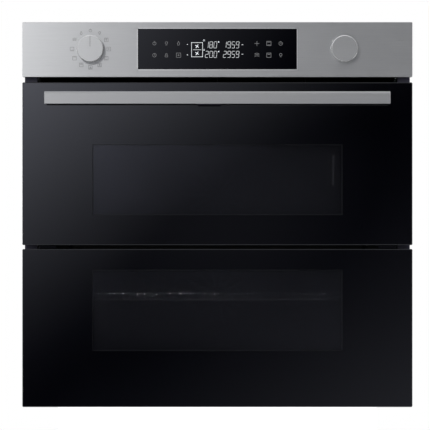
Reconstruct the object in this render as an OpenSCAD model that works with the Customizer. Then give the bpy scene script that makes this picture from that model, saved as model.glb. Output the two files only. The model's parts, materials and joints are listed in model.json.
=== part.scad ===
// Built-in wall oven with a two-part drop-down door.
// The upper half opens alone, or both halves open together.
// Millimetres, +Z up, doors facing -Y. The origin is the bottom centre of the whole oven.
// Inside the modules, y is measured from the mounting flange, the plane that meets the cabinet's front edge.

/* [Overall] */
// Width across the doors and the control panel
front_w = 595; // [593:1:597]
// Height from the skids to the top of the control panel
front_h = 595; // [594:1:600]
// Width across the body's side panels
body_w = 556; // [554:1:558]
// Depth behind the mounting flange
body_d = 546; // [546:1:556]

/* [Doors] */
// Height of the lower door's bottom edge
door_bottom = 8; // [7:0.5:9]
// Height of the middle of the gap between the two doors
split_z = 252; // [250:1:254]
// Gap between the two doors
split_gap = 6; // [6:0.5:7]
// Gap between the upper door and the control panel
panel_gap = 8.2; // [7:0.1:10]
// Thickness of the outer glass
glass_t = 4; // [3.5:0.5:4]

/* [Control panel] */
// Height of the control panel
panel_h = 83.6; // [82:0.2:86]
// Width of the display glass
display_w = 242.9; // [230:1:250]
// Height of the display glass
display_h = 62.4; // [58:0.2:64]
// Distance of each knob from the middle of the panel
knob_x = 193.6; // [180:0.2:205]
// Radius of the knobs
knob_r = 20.4; // [18:0.2:22]

/* [Handle] */
// Length of the handle bar
handle_l = 524; // [515:1:530]
// Height of the handle bar's face
handle_h = 18.7; // [18:0.1:20]
// Finger gap behind the handle bar
handle_reach = 31; // [28:1:33]
// Distance of the release lever from the middle of the handle
lever_x = -12; // [-20:1:20]

/* [Cavity] */
// Inside width of the cavity
cavity_w = 480; // [478:1:480]
// Inside height of the cavity
cavity_h = 365; // [363:1:365]
// Inside depth of the cavity
cavity_d = 430; // [428:1:430]

/* [Hidden] */
$fn = 48;

// Heights and half widths
half_w = front_w / 2;
body_x = body_w / 2;
sheet = 1;
steel = 1.2;
skid_h = 8;
body_top = front_h - 15;
panel_z0 = front_h - panel_h;
panel_mid = front_h - 41;
upper_z0 = split_z + split_gap / 2;
upper_z1 = panel_z0 - panel_gap;
lower_z1 = split_z - split_gap / 2;

// Planes along the depth, from the flange
handle_t = 12;
glass_y = -21;
glass_back = glass_y + glass_t;
handle_y1 = glass_y - handle_reach;
handle_y0 = handle_y1 - handle_t;
frame_y = 18;
liner_y = frame_y + steel;
wall_y = liner_y + cavity_d;
rear_y = body_d - 15;
rear_screw_z = [40, 210, 380, 560];
cord_r = 4.5;
flange_y = -(body_d + handle_y0) / 2;

// Cavity
cavity_x = cavity_w / 2;
cavity_z0 = split_z - cavity_h / 2;
cavity_z1 = split_z + cavity_h / 2;
cavity_r = 14;
fan_z = [split_z + 82, split_z - 82];
fan_shaft_r = 3;
cover_x = 170;
cover_z = 160;
cover_y = 410;
probe = [-190, 398];
grill_z = 421;
lamps = [[192, 375], [-192, 132]];
lamp_size = [22, 56];
levels = [80, 122, 165, 236, 300, 355];
rail_x = 226.5;
rail_r = 2;
rack_x = 226;
rack_r = 3;

// Doors
shell_x = 294;
shell_back = -3;
box_x = 270;
box_back = 5.5;
inner_glass_x = 253;
inner_back = 9.5;
window_x = 192;
upper_window = [300, 410];
lower_window = [93, 218];
lower_box_z0 = 14;
upper_box_z1 = upper_z1 - 6.2;
trim_x0 = 275.5;
trim_x1 = 294.5;
fixing_x = 286;
fixing_z = [72, 452];

// Hinges: the lower one carries both doors, the upper one carries the upper door
pivot = [-6, 28];
hinge_x = 261.5;
pin_r = 3;
channel_y = glass_back + steel;
running = 0.06;
upper_pivot_y = -18.6;
barrel_r = 2.4;
upper_pin_r = 1.2;
latch_x = 225;
latch_r = 2.5;
spring_r = 3.4;
spring_wire = 0.9;
spring_coils = 22;
seal_r = 4;
seal_off = 7;

// Handle
handle_z0 = 469.4;
bracket_x = [234, 250];
bracket_z = [472.5, 485];
handle_mid = (bracket_z[0] + bracket_z[1]) / 2;
handle_screw_x = [-(bracket_x[0] + bracket_x[1]) / 2, (bracket_x[0] + bracket_x[1]) / 2];
lever_w = 35.5;

// Cooling fan
blower = [195, 538];
blower_y = 149;
outlet_x = 138;
impeller_r = 26;
impeller_x = 132;

// Bounds on both sides of a value
function around(middle, half) = [middle - half, middle + half];

// Box between three pairs of bounds
module slab(x, y, z) {
    translate([x[0], y[0], z[0]]) cube([x[1] - x[0], y[1] - y[0], z[1] - z[0]]);
}

// Cylinders along each axis; c holds the two coordinates across the axis
module rod_x(x, c, r) {
    translate([x[0], c[0], c[1]]) rotate([0, 90, 0]) cylinder(r = r, h = x[1] - x[0]);
}
module rod_y(y, c, r) {
    translate([c[0], y[0], c[1]]) rotate([-90, 0, 0]) cylinder(r = r, h = y[1] - y[0]);
}
module rod_z(z, c, r) {
    translate([c[0], c[1], z[0]]) cylinder(r = r, h = z[1] - z[0]);
}

// Rounded rectangle, centred
module rounded(w, h, r) {
    square([w - 2 * r, h], center = true);
    square([w, h - 2 * r], center = true);
    for (sx = [-1, 1], sy = [-1, 1])
        translate([sx * (w / 2 - r), sy * (h / 2 - r)]) circle(r);
}

// Upright plate with rounded corners between three pairs of bounds
module plate(x, y, z, r) {
    translate([(x[0] + x[1]) / 2, y[1], (z[0] + z[1]) / 2]) rotate([90, 0, 0])
        linear_extrude(y[1] - y[0]) rounded(x[1] - x[0], z[1] - z[0], r);
}

module both_sides() {
    children();
    mirror([1, 0, 0]) children();
}

// Moves a shape drawn from the flange into the oven's own frame
module from_flange() {
    translate([0, flange_y, 0]) children();
}

// ---- Body ----

// Side sheet, set back from the flange and notched where the lower door's bottom edge swings in
module side_panel() {
    vent = [34, 4];
    difference() {
        slab([body_x - sheet, body_x], [2.5, rear_y], [skid_h, body_top]);
        slab([body_x - 2 * sheet, body_x + sheet], [0, frame_y], [0, pivot[1] + 7]);
        for (i = [0:5], j = [0:1])
            translate([body_x, 300 + j * 60, 500 + i * 11])
                cube([4, vent[0], vent[1]], center = true);
    }
}

module side_panel_left() { color("silver") from_flange() mirror([1, 0, 0]) side_panel(); }
module side_panel_right() { color("silver") from_flange() side_panel(); }

module top_cover() {
    inner_x = body_x - sheet;
    color("silver") from_flange() difference() {
        slab([-inner_x, inner_x], [1.2, rear_y], [body_top - sheet, body_top]);
        for (i = [0:8], side = [-1, 1])
            translate([side * 150, 250 + i * 18, body_top]) cube([110, 5, 4], center = true);
    }
}

module base_pan() {
    inner_x = body_x - sheet;
    color("silver") from_flange() difference() {
        slab([-inner_x, inner_x], [20, rear_y], [skid_h, skid_h + steel]);
        for (i = [0:6], side = [-1, 1])
            translate([side * 90, 180 + i * 40, skid_h]) cube([90, 6, 6], center = true);
    }
}

module rear_panel() {
    bulge = [[-90, 90], [split_z - 140, split_z + 140]];
    color("silver") from_flange() difference() {
        union() {
            slab([-body_x, body_x], [rear_y, rear_y + sheet], [skid_h, body_top]);
            slab(bulge[0], [rear_y, body_d], bulge[1]);
        }
        slab(bulge[0] + [sheet, -sheet], [rear_y - 1, body_d - sheet], bulge[1] + [sheet, -sheet]);
        for (z = fan_z, i = [-3:3])
            translate([0, body_d, z + i * 14]) cube([90, 4, 5], center = true);
        for (i = [-6:6])
            translate([i * 34, rear_y, 520]) cube([6, 4, 60], center = true);
        both_sides() for (z = rear_screw_z) rod_y([rear_y - 1, rear_y + 2], [body_x - 12, z], 2.1);
    }
}

// Hat-section runners under the base, set back behind the doors
module base_skids() {
    color("dimgray") from_flange() both_sides() difference() {
        slab([195, 229], [140, 525], [0, skid_h]);
        slab([195 + steel, 229 - steel], [139, 526], [steel, skid_h + 1]);
    }
}

// Enamelled plate around the cavity's mouth, with a slot for each hinge arm
module front_frame() {
    color("#202226") from_flange() difference() {
        slab([-trim_x0, trim_x0], [frame_y, liner_y], [10, 499]);
        plate([-cavity_x, cavity_x], [frame_y - 1, liner_y + 1], [cavity_z0, cavity_z1], cavity_r);
        both_sides() slab([hinge_x - 5, hinge_x + 5], [frame_y - 1, liner_y + 1], [16, 42]);
    }
}

// L-section columns: the flange meets the cabinet's front edge and takes its fixing screws
module side_trims() {
    trim_z = [33, body_top - sheet];
    color("#26262c") from_flange() both_sides() difference() {
        union() {
            slab([trim_x0, trim_x1], [-1.5, 0], trim_z);
            slab([trim_x0, trim_x0 + 1.5], [-1.5, liner_y], trim_z);
        }
        for (z = fixing_z) rod_y([-2, 1], [fixing_x, z], 2.25);
    }
}

module panel_support() {
    color("silver") from_flange() difference() {
        union() {
            slab([-274, 274], [0, steel], [512.2, body_top - sheet]);
            slab([-274, 274], [steel, 40], [512.2, 513.4]);
        }
        for (x = [-knob_x, 0, knob_x]) slab([x - 30, x + 30], [-1, 2], [535, 570]);
    }
}

// Flat duct that blows cooling air out between the doors and the control panel; the fan feeds its rear
module air_duct() {
    z = [500, 512];
    color("#1a1a1c") from_flange() {
        difference() {
            slab([-272, 272], [2, blower_y], z);
            slab([-272 + sheet, 272 - sheet], [1, blower_y - sheet], z + [sheet, -sheet]);
            slab([-outlet_x, outlet_x], [1, blower_y + 1], z + [sheet, -sheet]);
        }
        for (x = [-135, 0, 135]) slab([x - 0.6, x + 0.6], [12, 60], z + [sheet, -sheet]);
    }
}

// Sheet box round a scroll; it draws air in at the top and blows it into the duct
module cooling_fan_housing() {
    x = [-outlet_x - 4, outlet_x + 4];
    y = [blower_y, 240];
    z = [500, 572];
    scroll_r = 32;
    color("gainsboro") from_flange() difference() {
        union() {
            difference() {
                slab(x, y, z);
                slab(x + [steel, -steel], y + [steel, -steel], z + [steel, -steel]);
            }
            rod_x(x, blower, scroll_r + steel);
        }
        rod_x([-outlet_x, outlet_x], blower, scroll_r);
        slab([-outlet_x, outlet_x], [blower_y - 1, blower[0]], [501, 511]);
        slab([-125, 125], [175, 222], [555, 573]);
        rod_x([130, 143], blower, 5);
    }
}

module cooling_fan_motor() {
    color("slategray") from_flange() difference() {
        union() {
            rod_x([142, 182], blower, 26);
            slab([142, 145], [160, 230], [505, 570]);
        }
        rod_x([141, 170], blower, fan_shaft_r + running);
    }
}

// Cross-flow impeller: two end discs, a ring of blades and a shaft
module cooling_impeller() {
    blades = 18;
    color("#303034") from_flange() union() {
        for (x = [-impeller_x, -1, impeller_x - 2]) rod_x([x, x + 2], blower, impeller_r);
        for (i = [0:blades - 1])
            translate([-impeller_x, blower[0], blower[1]]) rotate([i * 360 / blades, 0, 0])
                translate([0, 17, -0.6]) cube([2 * impeller_x, 8, 1.2]);
        rod_x([-impeller_x, 165], blower, fan_shaft_r);
    }
}

module body_screws() {
    head = 1.2;
    color("lightgray") from_flange() both_sides() {
        for (z = rear_screw_z) union() {
            rod_y([rear_y + sheet, rear_y + sheet + 2], [body_x - 12, z], 4);
            rod_y([rear_y - 8, rear_y + 2], [body_x - 12, z], 2);
        }
        for (y = [40, 265, 490]) rod_x([body_x, body_x + head], [y, 560], 3.5);
    }
}

// ---- Cavity ----

module cavity_liner() {
    color("#3a3d44") from_flange() difference() {
        plate([-cavity_x - sheet, cavity_x + sheet], [liner_y, wall_y + sheet],
              [cavity_z0 - sheet, cavity_z1 + sheet], cavity_r + sheet);
        plate([-cavity_x, cavity_x], [liner_y - 1, wall_y], [cavity_z0, cavity_z1], cavity_r);
        for (z = fan_z) rod_y([wall_y - 1, wall_y + 2], [0, z], 7);
        for (l = lamps)
            slab([l[0] - 8, l[0] + 8], [wall_y - 1, wall_y + 2], [l[1] - 22, l[1] + 22]);
        for (x = [-20, 20]) rod_y([wall_y - 1, wall_y + 2], [x, grill_z], 4.5);
        rod_y([wall_y - 1, wall_y + 2], probe, 3);
    }
}

// Tube seal that runs round the cavity's mouth
module door_seal() {
    bend = 12;
    x = cavity_x + seal_off;
    z = [cavity_z0 - seal_off, cavity_z1 + seal_off];
    y = frame_y - seal_r;
    color("#55585c") from_flange() union() {
        for (h = z) rod_x([-x + bend, x - bend], [y, h], seal_r);
        for (s = [-x, x]) rod_z(z + [bend, -bend], [s, y], seal_r);
        for (i = [0:3])
            translate([(i == 0 || i == 3 ? 1 : -1) * (x - bend), y, i < 2 ? z[1] - bend : z[0] + bend])
                rotate([90, -90 * i, 0]) rotate_extrude(angle = 90) translate([bend, 0]) circle(seal_r);
    }
}

module insulation() {
    color("khaki") from_flange() difference() {
        slab([-266, 266], [20, 475], [50, 462]);
        slab([-cavity_x - 1.4, cavity_x + 1.4], [19, wall_y + 1.3], [60, cavity_z1 + 1.4]);
        for (z = fan_z) rod_y([wall_y, 476], [0, z], 9);
        for (l = lamps) rod_y([wall_y, 476], l, 26);
        for (x = [-20, 20]) rod_y([wall_y, 476], [x, grill_z], 5);
        rod_y([wall_y, 476], probe, 4);
    }
}

// Chromed wire ladder; each level is a lower rail and an upper rail
module rack_support() {
    post_x = 232.5;
    posts = [60, 380];
    union() {
        for (y = posts) rod_z([74, 420], [post_x, y], 2.5);
        for (z = levels, up = [0, 16]) {
            rod_y([40, 400], [rail_x, z + up], rail_r);
            for (y = posts) rod_x([rail_x, post_x], [y, z + up], 1.5);
        }
        for (y = posts, z = [90, 405]) rod_x([post_x, cavity_x], [y, z], 3);
    }
}

module rack_support_left() { color("gainsboro") from_flange() mirror([1, 0, 0]) rack_support(); }
module rack_support_right() { color("gainsboro") from_flange() rack_support(); }

// Flat heating coil: straight runs joined by half-round bends, drawn in a horizontal plane
module coil(runs, gap, y, r) {
    for (i = [0:runs - 1]) rod_y(y, [(i - (runs - 1) / 2) * gap, 0], r);
    for (i = [0:runs - 2])
        translate([(i - (runs - 2) / 2) * gap, i % 2 == 0 ? y[0] : y[1], 0])
            rotate([0, 0, i % 2 == 0 ? 180 : 0])
                rotate_extrude(angle = 180) translate([gap / 2, 0]) circle(r);
}

module grill_element() {
    tube = 3.2;
    color("dimgray") from_flange() translate([0, 0, grill_z]) union() {
        coil(6, 64, [80, 370], tube);
        // The two tails cross back to the middle and leave through the rear wall
        for (side = [-1, 1]) {
            rod_y([369, 392], [side * 160, 0], tube);
            rod_x(side < 0 ? [-160, -20] : [20, 160], [392, 0], tube);
            rod_y([392, 473], [side * 20, 0], tube);
        }
    }
}

module bottom_element() {
    color("dimgray") from_flange() translate([0, 0, 64.2]) union() {
        coil(6, 60, [90, 390], 3);
        for (x = [-150, 150]) rod_y([389, 446], [x, 0], 3);
    }
}

module ring_elements() {
    color("dimgray") from_flange() for (z = fan_z)
        translate([0, 431, z]) rotate([90, 0, 0]) rotate_extrude() translate([70, 0]) circle(3.2);
}

// Baffle in front of the two fans, with radial inlets and side outlets
module fan_cover() {
    slots = 14;
    color("#3a3d44") from_flange() difference() {
        slab([-cover_x, cover_x], [cover_y, wall_y], [split_z - cover_z, split_z + cover_z]);
        slab([-cover_x + steel, cover_x - steel], [cover_y + steel, wall_y + 1],
             [split_z - cover_z + steel, split_z + cover_z - steel]);
        for (z = fan_z, i = [0:slots - 1])
            translate([0, cover_y, z]) rotate([0, i * 360 / slots, 0])
                translate([33, 0, 0]) cube([34, 6, 5], center = true);
        for (z = fan_z, side = [-1, 1], i = [0:2])
            translate([side * (115 + i * 16), cover_y, z]) cube([6, 6, 90], center = true);
    }
}

module fan_motors() {
    color("slategray") from_flange() for (z = fan_z) difference() {
        union() {
            rod_y([480, 522], [0, z], 34);
            rod_y([475.2, 480], [0, z], 12);
        }
        rod_y([475, 505], [0, z], fan_shaft_r + running);
    }
}

module lamp_lenses() {
    color("lightyellow") from_flange() for (l = lamps)
        plate([l[0] - lamp_size[0] / 2, l[0] + lamp_size[0] / 2], [wall_y - 4, wall_y],
              [l[1] - lamp_size[1] / 2, l[1] + lamp_size[1] / 2], 9);
}

module lamp_holders() {
    color("white") from_flange() for (l = lamps) union() {
        rod_y([wall_y + sheet, 492], l, 25);
        rod_y([491, 506], l, 15);
    }
}

module temperature_probe() {
    color("silver") from_flange() union() {
        rod_y([406, 470], probe, 2.5);
        rod_y([wall_y - 2, wall_y], probe, 6);
    }
}

// One convection impeller: hub, back disc, curved ring of blades and a shaft
module convection_fan(z) {
    blades = 14;
    color("gainsboro") from_flange() translate([0, 0, z]) union() {
        rod_y([417, 437], [0, 0], 9);
        rod_y([435.5, 437], [0, 0], 56);
        for (i = [0:blades - 1])
            rotate([0, i * 360 / blades, 0]) translate([26, 418, 0]) rotate([0, 28, 0])
                cube([32, 18, 1.2]);
        rod_y([437, 498], [0, 0], fan_shaft_r);
    }
}

module convection_fan_upper() { convection_fan(fan_z[0]); }
module convection_fan_lower() { convection_fan(fan_z[1]); }

module wire_rack() {
    z = levels[2] + rail_r + rack_r + 0.3;
    wires = 19;
    gap = 22.6;
    y = [46, 406];
    color("gainsboro") from_flange() union() {
        for (side = [-1, 1]) rod_y(y, [side * rack_x, z], rack_r);
        for (d = y) rod_x([-rack_x, rack_x], [d, z], rack_r);
        for (d = [166, 286]) rod_x([-rack_x, rack_x], [d, z], 2);
        for (i = [0:wires - 1])
            rod_y(y - [2, -2], [(i - (wires - 1) / 2) * gap, z + 2.6], 1.4);
    }
}

module baking_tray() {
    rim_z = levels[0] + rail_r + 0.3;
    wall = 1;
    color("#30333a") from_flange() translate([0, 220, rim_z]) rotate([90, 0, 0]) difference() {
        union() {
            plate([-229, 229], [0, wall], [-186, 186], 12);
            plate([-216, 216], [-10.5, wall], [-174, 174], 10);
        }
        plate([-216 + wall, 216 - wall], [-9.5, 2], [-174 + wall, 174 - wall], 10 - wall);
    }
}

// Hollow shelf that parts the cavity into two zones; it is open at the rear
module cavity_divider() {
    rim_z = levels[3] + rail_r + 0.3;
    color("#3a3d44") from_flange() difference() {
        union() {
            slab([-229, 229], [34, 402], [rim_z, rim_z + steel]);
            slab([-220, 220], [30, 404], [rim_z, rim_z + 12]);
        }
        slab([-220 + sheet, 220 - sheet], [30 + sheet, 405], [rim_z + steel, rim_z + 12 - sheet]);
    }
}

// ---- Electrical ----

module terminal_block() {
    color("whitesmoke") from_flange() difference() {
        slab([-230, -150], [rear_y + sheet, body_d], [470, 530]);
        for (i = [0:4]) rod_y([body_d - 6, body_d + 1], [-218 + i * 14, 512], 3.5);
    }
}

// Cable entry that points down from the terminal block
module cable_gland() {
    gland = [-190, body_d - 7];
    color("dimgray") from_flange() difference() {
        union() {
            rod_z([452, 470], gland, 6.4);
            rod_z([458, 464], gland, 6.9);
        }
        rod_z([451, 471], gland, cord_r);
    }
}

// Display board behind the panel's glass, and the power board with its relays and capacitors
module control_boards() {
    main = [[50, 235], [270, 430], [474, 475.6]];
    color("darkgreen") from_flange() {
        slab([-108, 108], [-12, -10.4], [panel_mid - 24, panel_mid + 24]);
        union() {
            slab(main[0], main[1], main[2]);
            for (x = [60, 225], y = [280, 420]) rod_z([462, 475], [x, y], 3);
            for (i = [0:4]) slab([64 + i * 20, 80 + i * 20], [285, 313], [475, 493]);
            slab([175, 222], [350, 400], [475, 508]);
            for (i = [0:3]) rod_z([475, 496], [75 + i * 26, 350], 8);
        }
    }
}

// ---- Control panel ----

module control_fascia() {
    color("silver") from_flange() difference() {
        plate([-half_w, half_w], [glass_y, -2], [panel_z0, front_h], 1.5);
        slab([-half_w + sheet, half_w - sheet], [glass_y + sheet, -1], [panel_z0 + sheet, front_h - sheet]);
        plate([-display_w / 2, display_w / 2], [glass_y - 1, glass_y + 2],
              around(panel_mid, display_h / 2), 1);
        for (x = [-knob_x, knob_x]) rod_y([glass_y - 1, glass_y + 2], [x, panel_mid], 4.5);
    }
}

module display_glass() {
    slack = 0.3;
    color("black") from_flange()
        plate([-display_w / 2 + slack, display_w / 2 - slack], [glass_y + 0.5, glass_y + 3.5],
              around(panel_mid, display_h / 2 - slack), 1);
}

// Moulded backing that holds the display glass, its board and the two rotary switches
module panel_carrier() {
    rim_x = display_w / 2 + 6;
    rim_z = display_h / 2 + 4;
    color("#2b2b2e") from_flange() difference() {
        union() {
            slab([-288, 288], [-8, -6], [panel_z0 + 4, front_h - 4]);
            slab([-rim_x, rim_x], [glass_y + 3.5, -7], around(panel_mid, rim_z));
            for (x = [-260, -150, 150, 260]) slab([x - 1, x + 1], [-19, -7], around(panel_mid, 30));
            for (x = [-250, -110, 110, 250]) slab([x - 6, x + 6], [-7, 0], around(panel_mid, 12));
        }
        slab([-rim_x + 8, rim_x - 8], [glass_y + 3, -7.9], around(panel_mid, rim_z - 6));
    }
}

module rotary_switches() {
    color("dimgray") from_flange() for (x = [-knob_x, knob_x]) difference() {
        slab([x - 9, x + 9], [-18.5, -8], around(panel_mid, 9));
        rod_y([-19, -9], [x, panel_mid], fan_shaft_r + running);
    }
}

module knob(x) {
    bevel = 1.2;
    face = -39.5;
    union() {
        rod_y([face + bevel, glass_y - 1.4], [x, panel_mid], knob_r);
        translate([x, face, panel_mid]) rotate([-90, 0, 0])
            cylinder(r1 = knob_r - bevel, r2 = knob_r, h = bevel);
        rod_y([glass_y - 1.4, -10], [x, panel_mid], fan_shaft_r);
    }
}

module selector_knob() {
    color("silver") from_flange() difference() {
        knob(-knob_x);
        translate([-knob_x, -39.5, panel_mid + 12]) cube([1.4, 1.2, 12], center = true);
    }
}

module value_knob() { color("silver") from_flange() knob(knob_x); }

// ---- Lower hinges ----

module hinge_receivers() {
    color("slategray") from_flange() both_sides() difference() {
        slab([hinge_x - 6.5, hinge_x + 6.5], [liner_y, 95], [12, 46]);
        slab([hinge_x - 5, hinge_x + 5], [liner_y - 1, 93.5], [13.5, 44.5]);
    }
}

// Flat arms that hook into the receivers and carry the doors' pivot
module hinge_arms() {
    color("slategray") from_flange() both_sides() difference() {
        union() {
            rod_x([hinge_x - 2.5, hinge_x + 2.5], pivot, 6.5);
            slab([hinge_x - 2.5, hinge_x + 2.5], [pivot[0], 76], [pivot[1] - 5, pivot[1] + 5]);
            slab([hinge_x - 2.5, hinge_x + 2.5], [62, 76], [15, pivot[1]]);
        }
        rod_x([hinge_x - 3, hinge_x + 3], pivot, pin_r + running);
    }
}

// Channels inside the lower door that turn about the arms
module lower_hinge_bodies() {
    color("slategray") from_flange() both_sides() difference() {
        slab([hinge_x - 6, hinge_x + 6], [channel_y, -1], [19, 205]);
        slab([hinge_x - 4.5, hinge_x + 4.5], [channel_y + 1.5, 0], [18, 206]);
        rod_x([hinge_x - 7, hinge_x + 7], pivot, pin_r + 0.02);
    }
}

// Pins of the lower and the upper hinges, both held by the lower door
module hinge_pins() {
    color("silver") from_flange() both_sides() {
        rod_x([hinge_x - 6.3, hinge_x + 6.3], pivot, pin_r);
        rod_x([245, 271], [upper_pivot_y, split_z], upper_pin_r);
    }
}

// Close-wound tension spring: coils that touch, closed by a round stud at each end
module spring() {
    pitch = 1.6;
    length = (spring_coils - 1) * pitch;
    rotate_extrude() union() {
        for (i = [0:spring_coils - 1]) translate([spring_r, i * pitch]) circle(spring_wire);
        for (end = [0, length]) translate([0, end - 0.5]) square([spring_r, 1]);
    }
    translate([0, 0, length]) cylinder(r = 1, h = 12);
    translate([0, 0, -12]) cylinder(r = 1, h = 12);
}

module hinge_springs() {
    color("silver") from_flange() both_sides() translate([hinge_x, -7.5, 90]) spring();
}

// ---- Doors ----

// Folded steel box behind a door's outer glass, open at the window
module door_shell(z, box_top, window) {
    t = steel;
    ledge = 15;
    box_z = [z[0], box_top];
    difference() {
        union() {
            slab([-shell_x, shell_x], [glass_back, shell_back], z);
            slab([-box_x, box_x], [glass_back, box_back], box_z);
        }
        difference() {
            union() {
                slab([-shell_x + t, shell_x - t], [glass_back + t, shell_back - t], z + [t, -t]);
                slab([-box_x + t, box_x - t], [glass_back + t, box_back - t], box_z + [t, -t]);
            }
            for (x = [-205, 205], h = [window[0] - ledge, window[1] + ledge])
                translate([x, (box_back - 3.5) / 2, h]) cube([10, box_back + 3.5, 10], center = true);
        }
        slab([-window_x, window_x], [glass_back - 1, box_back + 1], window);
    }
}

module middle_glass(window) {
    color("lightgray") from_flange() slab([-215, 215], [-7.5, -3.5], window + [-24, 24]);
}

module lower_outer_glass() {
    color("black") from_flange() plate([-half_w, half_w], [glass_y, glass_back], [door_bottom, lower_z1], 2);
}
module lower_middle_glass() { middle_glass(lower_window); }
module lower_inner_glass() {
    color("lightgray") from_flange()
        slab([-inner_glass_x, inner_glass_x], [box_back, inner_back], [lower_box_z0, lower_z1 - 2]);
}

module lower_door_frame() {
    color("#2a2b2e") from_flange() difference() {
        door_shell([lower_box_z0, lower_z1 - 1], lower_z1 - 1, lower_window);
        both_sides() slab([hinge_x - 6.7, box_x - steel], [channel_y, box_back + 1], [10, 46]);
        for (x = [-latch_x, latch_x]) rod_z([lower_z1 - 5, lower_z1], [x, 0], 4);
    }
}

// Strip along the lower door's top edge, with the fixed knuckles of the upper hinge
module lower_door_trim() {
    outer = [[246, 251.7], [266.3, 271]];
    color("#17181a") from_flange() difference() {
        union() {
            slab([-shell_x, shell_x], [glass_back + 0.2, shell_back], [lower_z1 - 1, lower_z1]);
            slab([-box_x, box_x], [glass_back + 0.2, box_back], [lower_z1 - 1, lower_z1]);
            both_sides() for (x = outer) {
                slab(x, [upper_pivot_y, -3], [lower_z1, split_z - 1.4]);
                rod_x(x, [upper_pivot_y, split_z], barrel_r);
            }
        }
        both_sides() rod_x([245, 272], [upper_pivot_y, split_z], upper_pin_r + 0.02);
        for (x = [-latch_x, latch_x]) rod_z([lower_z1 - 2, lower_z1 + 1], [x, 0], 4);
    }
}

module upper_outer_glass() {
    color("black") from_flange() difference() {
        plate([-half_w, half_w], [glass_y, glass_back], [upper_z0, upper_z1], 2);
        for (x = handle_screw_x) rod_y([glass_y - 1, glass_back + 1], [x, handle_mid], 4);
    }
}

module upper_middle_glass() { middle_glass(upper_window); }
module upper_inner_glass() {
    color("lightgray") from_flange()
        slab([-inner_glass_x, inner_glass_x], [box_back, inner_back], [upper_z0 + 2, upper_box_z1 - 2]);
}

module upper_door_frame() {
    color("#2a2b2e") from_flange() difference() {
        door_shell([upper_z0 + 1, upper_z1 - 1], upper_box_z1, upper_window);
        for (x = handle_screw_x) rod_y([glass_back - 1, glass_back + 2], [x, handle_mid], 4);
        for (x = [-latch_x, latch_x]) rod_z([upper_z0, upper_z0 + 3], [x, 0], latch_r + 0.3);
    }
}

// Moving knuckles of the upper hinge
module upper_hinge_leaves() {
    x = [252, 266];
    color("#17181a") from_flange() both_sides() difference() {
        union() {
            slab(x, [upper_pivot_y, -3], [split_z + 1.4, upper_z0 + 1]);
            rod_x(x, [upper_pivot_y, split_z], barrel_r);
        }
        rod_x(x + [-1, 1], [upper_pivot_y, split_z], upper_pin_r + running);
        slab(x + [-1, 1], [upper_pivot_y - 3, glass_back + 0.2], [upper_z0 - 0.4, upper_z0 + 2]);
    }
}

// Bar with a chamfered top edge, and two guides that hold the release lever
module handle_bar() {
    chamfer = 3;
    z1 = handle_z0 + handle_h;
    color("silver") from_flange() union() {
        translate([-handle_l / 2, 0, 0]) rotate([90, 0, 90]) linear_extrude(handle_l)
            polygon([[handle_y0, handle_z0], [handle_y1, handle_z0], [handle_y1, z1],
                     [handle_y0 + chamfer, z1], [handle_y0, z1 - chamfer]]);
        for (x = [lever_x - lever_w / 2 - 2.5, lever_x + lever_w / 2 + 0.5])
            slab([x, x + 2], [handle_y1, handle_y1 + 8], [handle_z0 + 1, z1 - 1]);
    }
}

// Posts that stand the bar off the glass; each has a stud and a nut behind the glass
module handle_brackets() {
    color("silver") from_flange() both_sides() union() {
        slab(bracket_x, [handle_y1, glass_y], bracket_z);
        rod_y([glass_y, -10], [handle_screw_x[1], handle_mid], 3);
        rod_y([glass_back + steel, -11.5], [handle_screw_x[1], handle_mid], 6);
    }
}

module release_lever() {
    z1 = handle_z0 + handle_h;
    x = [lever_x - lever_w / 2, lever_x + lever_w / 2];
    color("darkgray") from_flange() union() {
        slab(x, [handle_y1 + 0.4, handle_y1 + 4], [handle_z0 - 2, z1 + 2.2]);
        slab(x, [handle_y1 + 0.4, handle_y1 + 10], [z1 + 0.7, z1 + 2.2]);
    }
}

// Spring bolts that drop from the upper door into the lower door's top edge
module latch_bolts() {
    color("silver") from_flange() both_sides() union() {
        rod_z([lower_z1 - 4.5, 290], [latch_x, 0], latch_r);
        rod_z([285, 296], [latch_x, 0], 3.6);
    }
}

side_panel_left();
side_panel_right();
top_cover();
base_pan();
rear_panel();
base_skids();
front_frame();
side_trims();
panel_support();
air_duct();
cooling_fan_housing();
cooling_fan_motor();
cavity_liner();
door_seal();
insulation();
rack_support_left();
rack_support_right();
grill_element();
bottom_element();
ring_elements();
fan_cover();
fan_motors();
lamp_lenses();
lamp_holders();
temperature_probe();
terminal_block();
cable_gland();
control_fascia();
display_glass();
panel_carrier();
control_boards();
rotary_switches();
hinge_receivers();
hinge_arms();
body_screws();
lower_outer_glass();
lower_middle_glass();
lower_inner_glass();
lower_door_frame();
lower_hinge_bodies();
hinge_pins();
hinge_springs();
lower_door_trim();
upper_outer_glass();
upper_middle_glass();
upper_inner_glass();
upper_door_frame();
upper_hinge_leaves();
handle_bar();
handle_brackets();
release_lever();
latch_bolts();
selector_knob();
value_knob();
convection_fan_upper();
convection_fan_lower();
cooling_impeller();
wire_rack();
baking_tray();
cavity_divider();
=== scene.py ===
"""Looks of the built-in oven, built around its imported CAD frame. Metres, +Z up, doors facing -Y."""

import json
import math

import bmesh
import bpy
from mathutils import Matrix, Vector


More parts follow.
